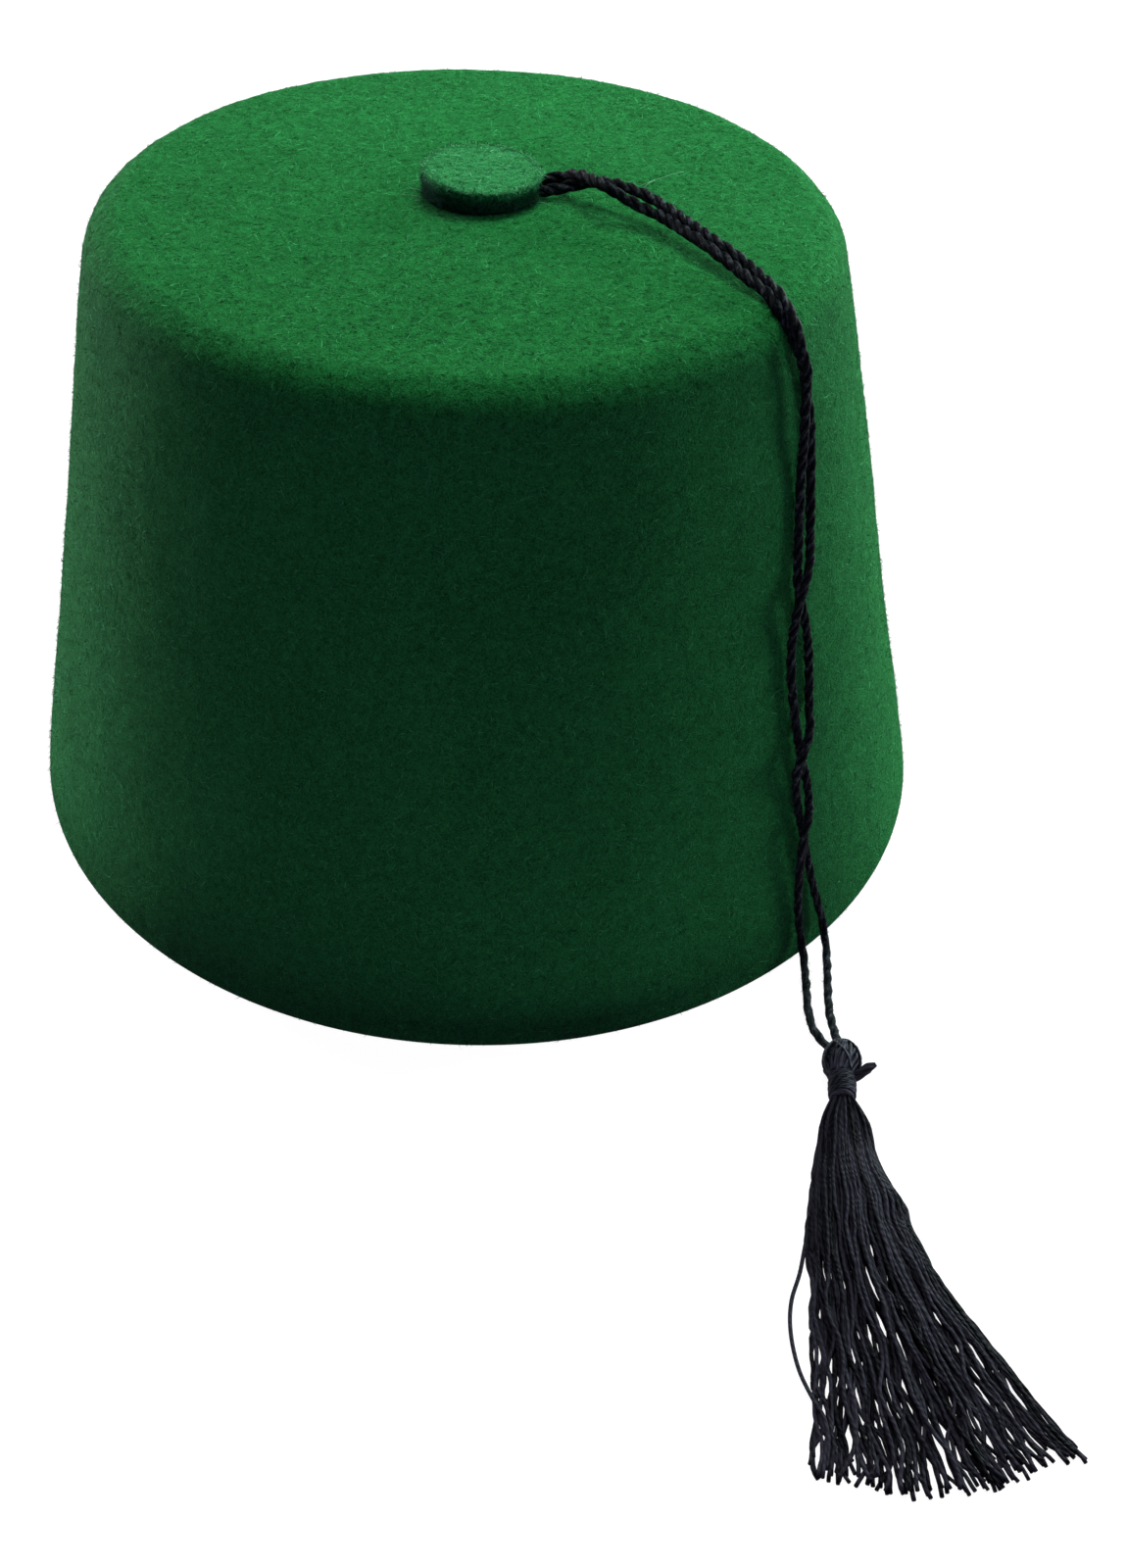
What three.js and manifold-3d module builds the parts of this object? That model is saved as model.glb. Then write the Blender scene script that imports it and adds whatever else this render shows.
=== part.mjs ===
// A fez: a blocked felt crown, hollow and open below, with a felt button, a doubled twisted cord and a tassel.
// Millimetres, +Z up, the origin on the floor under the middle of the crown, and the front at -Y.
import * as THREE from "three";
import { mergeVertices } from "three/addons/utils/BufferGeometryUtils.js";
import Module from "manifold-3d";

const wasm = await Module();
wasm.setup();

// Crown
const rimWidth = 184; // outside, from ear to ear
const rimLength = 195; // outside, from front to back
const crownHeight = 120.2; // from the floor to the edge of the top
const topWidth = 136.2; // where the line of the wall meets the top
const edgeRadius = 9; // outside, between wall and top
const domeRise = 1; // the middle of the top above its edge
const feltThickness = 2.5;
const rimRounding = 0.4; // the cut edge of the rim
const crownSides = 72;

// Button
const buttonDiameter = 22;
const buttonThickness = 4.2;
const buttonRounding = 0.5;
const buttonPlace = [3.5, 0.5];
const buttonSides = 40;
const seatGap = 0.3; // between two pieces that touch

// Cord
const cordDiameter = 1.3;
const cordClearance = 0.3; // round the cord in the button's groove
const cordSides = 8;
const cordSteps = 74;

// Tassel, lying on the floor
const tasselTop = [34.9, -116.2]; // where the head begins
const headHeading = 24; // degrees from -Y towards -X
const bulbRadius = 3.65;
const bulbLength = 7.8;
const neckRadius = 1.9;
const neckLength = 5;
const shoulderRadius = 2.9;
const shoulderLength = 5;
const headSides = 20;
const floorGap = 0.05; // under the tassel
const bindingThickness = 0.45;
const bindingInset = 0.3; // from the stub and from the end of the neck
const stubRadius = 0.75;
const stubLength = 5.9;
const stubHeading = 85; // degrees from -Y towards +X
const stubRise = 0.12; // of its length
const stubSides = 8;
const skirtLength = 73;
const skirtHeading = 11.3; // degrees from -Y towards -X
const skirtHalfFan = 16; // degrees to each side
const lockHalfWidth = 2.7;
const lockThickness = 2;
const lockRoot = 0.1; // where the locks begin, as a share of the shoulder's length
const lockSettled = 0.22; // the share of a lock's length after which it lies on the floor
const lockSides = 8;
const lockSteps = 9;

// The locks of the skirt: fan as a share of the half fan, reach and bow as shares of the skirt's
// length, and lift and size as shares of a lock's thickness and width
const locks = [
  { fan: -0.91, reach: 1.0, bow: -0.025, lift: 0, size: 1 },
  { fan: -0.65, reach: 1.01, bow: -0.03, lift: 0, size: 1 },
  { fan: -0.39, reach: 1.01, bow: -0.035, lift: 0, size: 1 },
  { fan: -0.13, reach: 1.03, bow: -0.03, lift: 0, size: 1 },
  { fan: 0.13, reach: 1.02, bow: -0.04, lift: 0, size: 1 },
  { fan: 0.39, reach: 1.01, bow: -0.05, lift: 0, size: 1 },
  { fan: 0.65, reach: 1.0, bow: -0.06, lift: 0, size: 1 },
  { fan: 0.91, reach: 1.0, bow: -0.07, lift: 0, size: 1 },
  { fan: -0.6, reach: 0.96, bow: -0.02, lift: 0.75, size: 0.8 },
  { fan: -0.27, reach: 0.94, bow: -0.03, lift: 0.75, size: 0.8 },
  { fan: 0.06, reach: 0.97, bow: -0.04, lift: 0.75, size: 0.8 },
  { fan: 0.38, reach: 0.93, bow: -0.05, lift: 0.75, size: 0.8 },
  { fan: 0.7, reach: 0.95, bow: -0.06, lift: 0.75, size: 0.8 },
];

// How wide and how thick a lock is along its length, as shares of lockHalfWidth and lockThickness
const lockForm = [
  { along: 0, width: 0.5, thickness: 1.1 },
  { along: 0.08, width: 0.85, thickness: 1.7 },
  { along: 0.2, width: 1, thickness: 1.6 },
  { along: 0.5, width: 1, thickness: 1.3 },
  { along: 0.9, width: 1, thickness: 1 },
  { along: 1, width: 0.8, thickness: 0.7 },
];

// The bulb of the head, from its top: shares of bulbLength and bulbRadius
const bulbForm = [
  { along: 0, out: 0 },
  { along: 0.03, out: 0.36 },
  { along: 0.13, out: 0.68 },
  { along: 0.3, out: 0.93 },
  { along: 0.48, out: 1 },
  { along: 0.66, out: 0.95 },
  { along: 0.84, out: 0.77 },
];

// The shoulder under the neck: shares of shoulderLength, and of the way out from the neck
const shoulderForm = [
  { along: 0, out: 0 },
  { along: 0.15, out: 0.5 },
  { along: 0.6, out: 1 },
];

// The middle lines of the cord's two halves, from under the button over the top, down the wall
// and along the floor to the tassel, crossing each other on the way
const strandRight = [
  [11, -4.6, 122.4], [14, -5.6, 122.5], [17, -7.2, 123.2], [20.4, -8.6, 124.3],
  [23.8, -10.7, 125.2], [26.6, -14.9, 125.6], [29.1, -19.9, 125.5], [30.9, -26.6, 125.3],
  [32.6, -32.7, 124.8], [34.3, -39.4, 124.1], [36.2, -44.2, 123.3], [37.8, -48.7, 122.4],
  [38.7, -54.1, 121.6], [39.1, -58.3, 120.4], [39.3, -61.6, 118.5], [39.7, -63.7, 115.3],
  [40.7, -64.3, 111.3], [40.6, -64.7, 107.7], [40.3, -66.1, 101.2], [40, -66.9, 94],
  [39, -71.1, 78], [38.9, -72, 74.6], [39.7, -72.4, 71], [40.6, -72.8, 67],
  [41.3, -73.4, 62.6], [41.5, -74.7, 57], [41.3, -76.6, 50.4], [40.5, -79.5, 47.2],
  [38.5, -81.9, 44.2], [37.4, -82.3, 40.8], [37.6, -82.3, 36], [38.3, -82.8, 31],
  [39.5, -83.4, 25.6], [41.5, -84.7, 15.4], [43.8, -85.9, 6.4], [44.2, -87.4, 3],
  [43.6, -90, 1.4], [42, -94.2, 1], [37.6, -105, 1.2], [34.7, -114.5, 3.6],
];
const strandLeft = [
  [11.4, -1.2, 122.7], [14.4, -2.6, 123.1], [17, -5, 124.4], [18.9, -8.3, 125.7],
  [20.7, -11.6, 126.2], [22.5, -14.5, 125.5], [24.2, -17.2, 124.7], [26.5, -21.1, 124.2],
  [28.3, -27.1, 124.1], [29.9, -34.1, 124.1], [31.6, -40, 123.7], [35.4, -49, 122.4],
  [36.7, -53.8, 121.5], [37.6, -57.6, 119.8], [38.6, -60.2, 117.3], [40, -61.4, 114],
  [41.5, -61.4, 109.7], [42.2, -61.8, 105.9], [42.9, -62.5, 101.3], [42.9, -63.9, 96.4],
  [42.3, -67.9, 82.7], [41.3, -71, 78.5], [39.9, -73.2, 75.9], [38.4, -74.7, 73.1],
  [37.5, -75.4, 69], [37, -75.8, 64.3], [36.9, -77.1, 58.4], [37.5, -78.5, 51.6],
  [38.9, -80, 42.2], [40, -80.4, 38], [40.7, -81.3, 33.6], [39.9, -83.9, 30.8],
  [38.6, -85.4, 27.4], [38.2, -86, 22.2], [37.9, -87.5, 11.5], [38.4, -89, 5],
  [38.3, -91.2, 1.9], [36.9, -95.6, 1], [32.8, -107.4, 1.6], [32, -115, 3.6],
];

const felt = { color: 0x1a6a33, roughness: 0.95, metalness: 0 };
const cutFelt = { color: 0x17602e, roughness: 0.95, metalness: 0 };
const satinCord = { color: 0x15161d, roughness: 0.5, metalness: 0 };
const tasselThread = { color: 0x121318, roughness: 0.45, metalness: 0 };

const radians = THREE.MathUtils.degToRad;
const headingVector = (degrees) => new THREE.Vector3(-Math.sin(radians(degrees)), -Math.cos(radians(degrees)), 0);

function piece(name, geometry, finish) {
  const mesh = new THREE.Mesh(geometry, new THREE.MeshStandardMaterial(finish));
  mesh.name = name;
  return mesh;
}

// A lathe geometry turned so that its axis is +Z
function turned(profile, sides) {
  return new THREE.LatheGeometry(profile, sides).rotateX(Math.PI / 2);
}

function toSolid(geometry) {
  const bare = geometry.clone();
  bare.deleteAttribute("normal");
  bare.deleteAttribute("uv");
  const merged = mergeVertices(bare, 1e-4);
  const index = merged.index.array;
  const corners = [];
  for (let i = 0; i < index.length; i += 3) {
    const [a, b, c] = [index[i], index[i + 1], index[i + 2]];
    if (a !== b && b !== c && c !== a) {
      corners.push(a, b, c);
    }
  }
  const mesh = new wasm.Mesh({
    numProp: 3,
    vertProperties: Float32Array.from(merged.attributes.position.array),
    triVerts: Uint32Array.from(corners),
  });
  return new wasm.Manifold(mesh);
}

function fromSolid(solid) {
  const { vertProperties, triVerts } = solid.getMesh();
  const geometry = new THREE.BufferGeometry();
  geometry.setAttribute("position", new THREE.BufferAttribute(vertProperties, 3));
  geometry.setIndex(new THREE.BufferAttribute(triVerts, 1));
  geometry.computeVertexNormals();
  return geometry;
}

// One face of the felt, from the rim to the middle of the top, the given depth inside the outer face
function feltFace(depth) {
  const wallEnd = new THREE.Vector2(topWidth / 2, crownHeight);
  const wallStart = new THREE.Vector2(rimWidth / 2, 0);
  const down = wallStart.clone().sub(wallEnd).normalize();
  const lean = Math.acos(-down.x) / 2;
  const centre = new THREE.Vector2(-1, 0).add(down).normalize();
  centre.multiplyScalar(edgeRadius / Math.sin(lean)).add(wallEnd);
  const radius = edgeRadius - depth;
  const outward = Math.atan2(down.x, -down.y);
  const side = new THREE.Vector2(Math.cos(outward), Math.sin(outward)).multiplyScalar(depth);
  const rim = wallStart.clone().sub(side);
  rim.x += (down.x / down.y) * -rim.y;
  rim.y = 0;
  const points = [rim];
  const arcSteps = 6;
  for (let i = 0; i <= arcSteps; i++) {
    const angle = outward + (Math.PI / 2 - outward) * (i / arcSteps);
    points.push(new THREE.Vector2(centre.x + radius * Math.cos(angle), centre.y + radius * Math.sin(angle)));
  }
  const domeSteps = 4;
  const domeRadius = centre.x;
  for (let i = 1; i <= domeSteps; i++) {
    const share = 1 - i / domeSteps;
    points.push(new THREE.Vector2(domeRadius * share, crownHeight - depth + domeRise * (1 - share * share)));
  }
  return points;
}

function crown() {
  const outer = feltFace(0);
  const inner = feltFace(feltThickness);
  const [outerRim, innerRim] = [outer.shift(), inner.shift()];
  const wallLean = (rimWidth - topWidth) / 2 / crownHeight;
  const edge = [
    new THREE.Vector2(innerRim.x - rimRounding * wallLean, rimRounding),
    new THREE.Vector2(innerRim.x + rimRounding, 0),
    new THREE.Vector2(outerRim.x - rimRounding, 0),
    new THREE.Vector2(outerRim.x - rimRounding * wallLean, rimRounding),
  ];
  const geometry = turned([...inner.reverse(), ...edge, ...outer], crownSides);
  return piece("crown", geometry.scale(1, rimLength / rimWidth, 1), felt);
}

// The disc, with a groove under its +X side for the cord
function button() {
  const radius = buttonDiameter / 2;
  const profile = [
    new THREE.Vector2(0, 0),
    new THREE.Vector2(radius - buttonRounding, 0),
    new THREE.Vector2(radius, buttonRounding),
    new THREE.Vector2(radius, buttonThickness - buttonRounding),
    new THREE.Vector2(radius - buttonRounding, buttonThickness),
    new THREE.Vector2(0, buttonThickness),
  ];
  const seat = crownHeight + domeRise + seatGap;
  const disc = turned(profile, buttonSides).translate(buttonPlace[0], buttonPlace[1], seat);
  const ends = [strandRight[0], strandLeft[0], strandRight[1], strandLeft[1]];
  const around = cordDiameter / 2 + cordClearance;
  const low = Math.min(...ends.map((p) => p[1])) - around;
  const high = Math.max(...ends.map((p) => p[1])) + around;
  const top = Math.max(...ends.map((p) => p[2])) + around;
  const back = Math.min(...ends.map((p) => p[0])) - cordClearance;
  const front = buttonPlace[0] + buttonDiameter;
  const groove = new THREE.BoxGeometry(front - back, high - low, (top - crownHeight) * 2);
  groove.translate((front + back) / 2, (high + low) / 2, crownHeight);
  return piece("button", fromSolid(toSolid(disc).subtract(toSolid(groove))), cutFelt);
}

function strand(name, route) {
  const path = new THREE.CatmullRomCurve3(route.map((p) => new THREE.Vector3(...p)));
  const section = new THREE.Shape();
  for (let i = 0; i < cordSides; i++) {
    const angle = (i * 2 * Math.PI) / cordSides;
    const [x, y] = [Math.cos(angle), Math.sin(angle)].map((v) => (v * cordDiameter) / 2);
    i ? section.lineTo(x, y) : section.moveTo(x, y);
  }
  const tube = new THREE.ExtrudeGeometry(section, { steps: cordSteps, extrudePath: path });
  return piece(name, tube, satinCord);
}

const axisHeight = bulbRadius + floorGap;
const headAxis = headingVector(headHeading);

// A point on the axis of the tassel's head, the given distance from its top
function onHead(distance) {
  return headAxis.clone().multiplyScalar(distance).add(new THREE.Vector3(...tasselTop, axisHeight));
}

// A geometry made along +Z, laid along the head's axis from the given distance
function laidOnHead(geometry, distance) {
  const turn = new THREE.Quaternion().setFromUnitVectors(new THREE.Vector3(0, 0, 1), headAxis);
  const place = onHead(distance);
  return geometry.applyQuaternion(turn).translate(place.x, place.y, place.z);
}

function head() {
  const neckEnd = bulbLength + neckLength;
  const profile = [
    ...bulbForm.map((row) => new THREE.Vector2(row.out * bulbRadius, row.along * bulbLength)),
    new THREE.Vector2(neckRadius, bulbLength),
    ...shoulderForm.map((row) => new THREE.Vector2(
      THREE.MathUtils.lerp(neckRadius, shoulderRadius, row.out),
      neckEnd + row.along * shoulderLength,
    )),
    new THREE.Vector2(0, neckEnd + shoulderLength),
  ];
  return laidOnHead(turned(profile, headSides), 0);
}

// The cut end of the tie, which stands out beside the neck
function stub() {
  const rod = new THREE.CylinderGeometry(stubRadius, stubRadius, stubLength, stubSides);
  const out = headingVector(-stubHeading);
  out.z = stubRise;
  rod.applyQuaternion(new THREE.Quaternion().setFromUnitVectors(new THREE.Vector3(0, 1, 0), out.normalize()));
  const root = onHead(bulbLength);
  const middle = out.multiplyScalar(stubLength / 2).add(root);
  return rod.translate(middle.x, middle.y, middle.z);
}

function formAt(along, column) {
  const next = lockForm.findIndex((row) => row.along >= along && row.along > 0);
  const [a, b] = [lockForm[next - 1], lockForm[next]];
  return THREE.MathUtils.mapLinear(along, a.along, b.along, a[column], b[column]);
}

// One lock of threads: a rod whose rings are laid along a bowed path and flattened
function lock({ fan, reach, bow, lift, size }) {
  const start = onHead(bulbLength + neckLength + shoulderLength * lockRoot);
  const along = headingVector(skirtHeading - fan * skirtHalfFan);
  const across = new THREE.Vector3(-along.y, along.x, 0);
  const rod = new THREE.CylinderGeometry(1, 1, 1, lockSides, lockSteps);
  rod.rotateY(Math.PI / lockSides);
  const point = rod.attributes.position;
  for (let i = 0; i < point.count; i++) {
    const share = THREE.MathUtils.clamp(0.5 - point.getY(i), 0, 1);
    const halfWidth = formAt(share, "width") * lockHalfWidth * size;
    const halfThickness = (formAt(share, "thickness") * lockThickness * size) / 2;
    const rest = halfThickness + floorGap + lift * lockThickness;
    const height = THREE.MathUtils.lerp(start.z, rest, THREE.MathUtils.smoothstep(share, 0, lockSettled));
    const middle = start.clone().addScaledVector(along, share * reach * skirtLength);
    middle.addScaledVector(across, 4 * share * (1 - share) * bow * skirtLength);
    middle.addScaledVector(across, point.getX(i) * halfWidth);
    point.setXYZ(i, middle.x, middle.y, height + point.getZ(i) * halfThickness);
  }
  return rod;
}

function tassel() {
  let body = toSolid(head()).add(toSolid(stub()));
  for (const row of locks) {
    body = body.add(toSolid(lock(row)));
  }
  return piece("tassel", fromSolid(body), tasselThread);
}

// The thread wound round the neck, as one sleeve
function binding() {
  const inner = neckRadius + seatGap;
  const outer = inner + bindingThickness;
  const start = bulbLength + stubRadius + bindingInset;
  const length = bulbLength + neckLength - bindingInset - start;
  const profile = [
    new THREE.Vector2(inner, 0),
    new THREE.Vector2(outer, 0),
    new THREE.Vector2(outer, length),
    new THREE.Vector2(inner, length),
    new THREE.Vector2(inner, 0),
  ];
  return piece("binding", laidOnHead(turned(profile, headSides), start), tasselThread);
}

const fez = new THREE.Group();
fez.add(crown());
fez.add(button());
fez.add(strand("cord_strand_right", strandRight));
fez.add(strand("cord_strand_left", strandLeft));
fez.add(tassel());
fez.add(binding());

export default fez;
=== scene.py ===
import bpy
import math
import numpy as np
from mathutils import Matrix, Vector, noise


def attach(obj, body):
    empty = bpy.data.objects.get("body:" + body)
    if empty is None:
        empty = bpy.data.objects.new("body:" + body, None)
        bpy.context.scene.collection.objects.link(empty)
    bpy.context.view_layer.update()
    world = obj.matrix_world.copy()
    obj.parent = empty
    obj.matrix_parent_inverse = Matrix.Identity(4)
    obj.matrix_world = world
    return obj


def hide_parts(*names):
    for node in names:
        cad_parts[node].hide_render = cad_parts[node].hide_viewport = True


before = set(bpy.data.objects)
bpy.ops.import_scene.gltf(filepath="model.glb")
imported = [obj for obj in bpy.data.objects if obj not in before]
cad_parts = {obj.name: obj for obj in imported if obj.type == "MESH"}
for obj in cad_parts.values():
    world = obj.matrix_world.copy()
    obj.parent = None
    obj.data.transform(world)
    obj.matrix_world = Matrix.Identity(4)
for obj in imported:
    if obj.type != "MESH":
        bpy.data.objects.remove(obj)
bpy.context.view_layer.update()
mm = 0.001  # every size below is in millimetres, and meshes are made in metres
onFloor = 0.02  # the lowest that a fibre or thread lies

# Camera, at the photo's angle
camera = {
    "place": (-94.27, -341.09, 272.22),
    "pitch": 39.31,  # degrees below the horizon
    "turn": 18.53,  # degrees from +Y towards +X
    "roll": 0.64,
    "lens": 46.54,
    "sensor": 36,
    "near": 0.01,  # in metres, as the next one
    "far": 40,
}


def makeCamera():
    pitch, turn, roll = (math.radians(camera[key]) for key in ("pitch", "turn", "roll"))
    look = Vector((math.sin(turn) * math.cos(pitch), math.cos(turn) * math.cos(pitch), -math.sin(pitch)))
    level = Vector((math.cos(turn), -math.sin(turn), 0))
    upright = level.cross(look)
    right = level * math.cos(roll) + upright * math.sin(roll)
    up = upright * math.cos(roll) - level * math.sin(roll)
    data = bpy.data.cameras.new("camera")
    data.lens = camera["lens"]
    data.sensor_width = camera["sensor"]
    data.clip_start = camera["near"]
    data.clip_end = camera["far"]
    eye = bpy.data.objects.new("camera", data)
    place = Matrix((right, up, -look)).transposed().to_4x4()
    place.translation = Vector(camera["place"]) * mm
    eye.matrix_world = place
    bpy.context.scene.collection.objects.link(eye)
    bpy.context.scene.camera = eye


makeCamera()
print("camera placed")


# Shader maths: a socket that can be added, multiplied and mixed like a number
class Shade:
    def __init__(self, tree, socket=None):
        self.tree = tree
        self.socket = socket

    def node(self, kind, settings=None, sockets=None, output=0):
        made = self.tree.nodes.new(kind)
        for name, value in (settings or {}).items():
            setattr(made, name, value)
        for name, value in (sockets or {}).items():
            if isinstance(value, Shade):
                self.tree.links.new(value.socket, made.inputs[name])
            else:
                made.inputs[name].default_value = value
        return Shade(self.tree, made.outputs[output])

    def maths(self, operation, first, second=0.0):
        return self.node("ShaderNodeMath", {"operation": operation}, {0: first, 1: second})

    def __add__(self, other):
        return self.maths("ADD", self, other)

    def __radd__(self, other):
        return self.maths("ADD", other, self)

    def __sub__(self, other):
        return self.maths("SUBTRACT", self, other)

    def __rsub__(self, other):
        return self.maths("SUBTRACT", other, self)

    def __mul__(self, other):
        return self.maths("MULTIPLY", self, other)

    def __rmul__(self, other):
        return self.maths("MULTIPLY", other, self)


def newMaterial(name, look):
    material = bpy.data.materials.new(name)
    material.use_nodes = True
    tree = material.node_tree
    shader = tree.nodes["Principled BSDF"]
    for socket, value in look.items():
        shader.inputs[socket].default_value = value
    return material, Shade(tree), shader


def spread(value, low, high, outLow=0.0, outHigh=1.0):
    names = {"Value": value, "From Min": low, "From Max": high, "To Min": outLow, "To Max": outHigh}
    return value.node("ShaderNodeMapRange", {"clamp": True}, names)


def mixColour(factor, dark, light):
    sockets = {0: factor, 6: dark, 7: light}
    return factor.node("ShaderNodeMix", {"data_type": "RGBA"}, sockets, output=2)


def finishShader(shade, shader, colour, height, depth):  # depth is the bump's, in millimetres
    shade.tree.links.new(colour.socket, shader.inputs["Base Color"])
    bump = shade.node("ShaderNodeBump", None, {"Height": height, "Distance": depth * mm, "Strength": 1.0})
    shade.tree.links.new(bump.socket, shader.inputs["Normal"])


# Felt
felt = {
    "dark": (0.0034, 0.064, 0.0110, 1),
    "light": (0.0215, 0.268, 0.0590, 1),
    "capDark": (0.010, 0.115, 0.030, 1),  # the button's top, pressed smooth
    "capLight": (0.050, 0.37, 0.108, 1),
    "cutDark": (0.004, 0.042, 0.024, 1),
    "cutLight": (0.042, 0.33, 0.120, 1),
    "strandDark": (0.0060, 0.095, 0.019, 1),
    "strandLight": (0.0700, 0.450, 0.150, 1),
    "cutStrandLight": (0.10, 0.36, 0.19, 1),
    # painted highlight: the light end of the button's top and rim fibres, lighter than the felt's own, for
    # fuzz catching light at the rim
    "rimStrandHighlight": (0.16, 0.62, 0.27, 1),
    "bumpDepth": 0.36,
    "look": {
        "Roughness": 0.95, "Specular IOR Level": 0.03, "Sheen Weight": 0.05, "Sheen Roughness": 0.4,
        "Sheen Tint": (0.25, 0.8, 0.4, 1),
    },
    "lays": [  # directions that fibres run in, each with its turn
        ((0.9, 0.1, 0.35), 0.3),
        ((-0.3, 0.85, 0.5), 1.7),
        ((0.35, -0.4, 0.9), 2.9),
        ((0.6, 0.75, -0.3), 4.1),
    ],
    "lineWidth": 0.26,
    "lineLength": 1.7,
    "mottleSize": 1.5,
    "grainSize": 0.30,
    "patchSize": 26,
    "pitSize": 1.0,
    "pitRange": (0.58, 0.69),  # where the cloud of pits begins and where a pit is deepest
    "topRange": (112, 119),  # heights over which the wall's mottle and painted shade in the pits grow to the top's stronger ones
    "tone": 0.395,
    "strandBump": 0.02,
    # painted shade on the button's cut side: darker towards -X, a little lighter towards +X
    "paintedShadeRange": (-9, 3),  # places along X over which that painted shade changes, from the first tone below to the second
    "paintedShadeTone": (0.15, 1.25),
}


def inMillimetres(shade):
    place = shade.node("ShaderNodeTexCoord", output=3)
    return shade.node("ShaderNodeVectorMath", {"operation": "SCALE"}, {0: place, "Scale": 1 / mm})


def cloud(shade, place, size, detail=2.0, rough=0.5, warp=0.0):
    sockets = {"Vector": place, "Scale": 1 / size, "Detail": detail, "Roughness": rough, "Distortion": warp}
    return shade.node("ShaderNodeTexNoise", None, sockets)


def fibreLines(shade, place, lay, across, along):  # thin lines of fibre that run along one direction
    direction, turn = lay
    tilt = Vector((0, 0, 1)).rotation_difference(Vector(direction).normalized()).to_euler()
    sockets = {"Vector": place, "Rotation": (-tilt.x, -tilt.y, -tilt.z + turn)}
    turned = shade.node("ShaderNodeMapping", {"vector_type": "POINT"}, sockets)
    sockets = {"Vector": turned, "Scale": (1 / across, 1 / across, 1 / along)}
    laid = shade.node("ShaderNodeMapping", {"vector_type": "POINT"}, sockets)
    grain = cloud(shade, laid, 1.0, 1.0, 0.5, 0.4)
    ridge = 1 - (grain - 0.5).maths("ABSOLUTE", grain - 0.5) * 14
    return ridge.maths("MAXIMUM", ridge, 0.0)


def paintedShadeTowardsLeft(place):  # painted shade: the button's cut side is darkened towards -X, standing in for less light reaching it there
    across = place.node("ShaderNodeSeparateXYZ", None, {0: place})
    return spread(across, *felt["paintedShadeRange"], *felt["paintedShadeTone"])


def makeFelt(name, dark, light, withPaintedShade=False):
    material, shade, shader = newMaterial(name, felt["look"])
    place = inMillimetres(shade)
    lines = [fibreLines(shade, place, lay, felt["lineWidth"], felt["lineLength"]) for lay in felt["lays"]]
    fibres = lines[0]
    for line in lines[1:]:
        fibres = fibres.maths("MAXIMUM", fibres, line)
    onTop = spread(shade.node("ShaderNodeSeparateXYZ", None, {0: place}, output=2), *felt["topRange"])
    mottle = cloud(shade, place, felt["mottleSize"], 3.0, 0.6, 0.3)
    grain = cloud(shade, place, felt["grainSize"], 1.0, 0.5, 0.4)
    patches = cloud(shade, place, felt["patchSize"], 2.0)
    pits = spread(cloud(shade, place, felt["pitSize"], 2.0, 0.6, 0.3), *felt["pitRange"])
    tone = felt["tone"] + (mottle - 0.5) * (onTop * 0.55 + 0.7) + (grain - 0.5) * 1.6
    # painted shade: the pits are darker in colour as well as deeper in the bump, more so on the top
    tone = tone + (patches - 0.5) * 0.35 + fibres * 0.20 - pits * (onTop * 0.34 + 0.06)
    # painted shade on the cut side, darker towards -X
    tone = tone * paintedShadeTowardsLeft(place) if withPaintedShade else tone
    colour = mixColour(spread(tone, 0.0, 1.0), dark, light)
    height = mottle * 0.75 + grain * 0.60 + fibres * 0.08 - pits * 0.45
    finishShader(shade, shader, colour, height, felt["bumpDepth"])
    return material


def makeStrandMaterial(name, dark, light, withPaintedShade=False):  # the loose fibres, each with its own tone
    material, shade, shader = newMaterial(name, felt["look"])
    tone = shade.node("ShaderNodeNewGeometry", output="Random Per Island")
    tone = tone * tone * tone
    # painted shade on the cut side's fibres, darker towards -X
    tone = tone * paintedShadeTowardsLeft(inMillimetres(shade)) if withPaintedShade else tone
    colour = mixColour(tone, dark, light)
    grain = cloud(shade, inMillimetres(shade), 0.2)
    finishShader(shade, shader, colour, grain, felt["strandBump"])
    return material


# Thread and cord: black and twisted, with painted glints and shade standing in for part of a satin sheen
thread = {
    "dark": (0.0030, 0.0032, 0.0048, 1),
    "light": (0.0320, 0.0310, 0.0430, 1),
    # painted light: a lighter copy of the thread's colours for the head and binding, standing in for light
    # from above that the hat's shadow keeps off
    "paintedLitHeadDark": (0.0070, 0.0080, 0.0110, 1),
    "paintedLitHeadLight": (0.105, 0.115, 0.138, 1),
    "cordDark": (0.0015, 0.0030, 0.0034, 1),
    "cordLight": (0.070, 0.088, 0.106, 1),
    "look": {"Roughness": 0.55, "Specular IOR Level": 0.03, "Sheen Weight": 0.0},
    "cordBump": 0.22,
    "threadBump": 0.12,
    "glintSize": 1.1,
    "wearSize": 5,
    "tone": 0.36,
}


def makeCordMaterial():  # "lay" holds the place across a ply, along it, and how far out it is
    material, shade, shader = newMaterial("twisted_cord", thread["look"])
    lay = shade.node("ShaderNodeAttribute", {"attribute_name": "lay"}, output="Vector")
    crest = shade.node("ShaderNodeSeparateXYZ", None, {0: lay}, output=2)
    sockets = {"Vector": lay, "Scale": 2.6, "Detail": 3.0, "Roughness": 0.65}
    filaments = shade.node("ShaderNodeTexNoise", None, sockets)
    glints = spread(cloud(shade, inMillimetres(shade), thread["glintSize"], 2.0), 0.52, 0.64)
    # painted shade and highlight: the valleys between plies are darker, the crests lighter, with painted
    # glints on the crests
    tone = (filaments - 0.5) * 1.3 + crest * 0.12 - 0.05 + glints * crest * 0.62
    colour = mixColour(spread(tone, 0.0, 1.0), thread["cordDark"], thread["cordLight"])
    finishShader(shade, shader, colour, filaments + crest * 0.5, thread["cordBump"])
    return material


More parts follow.
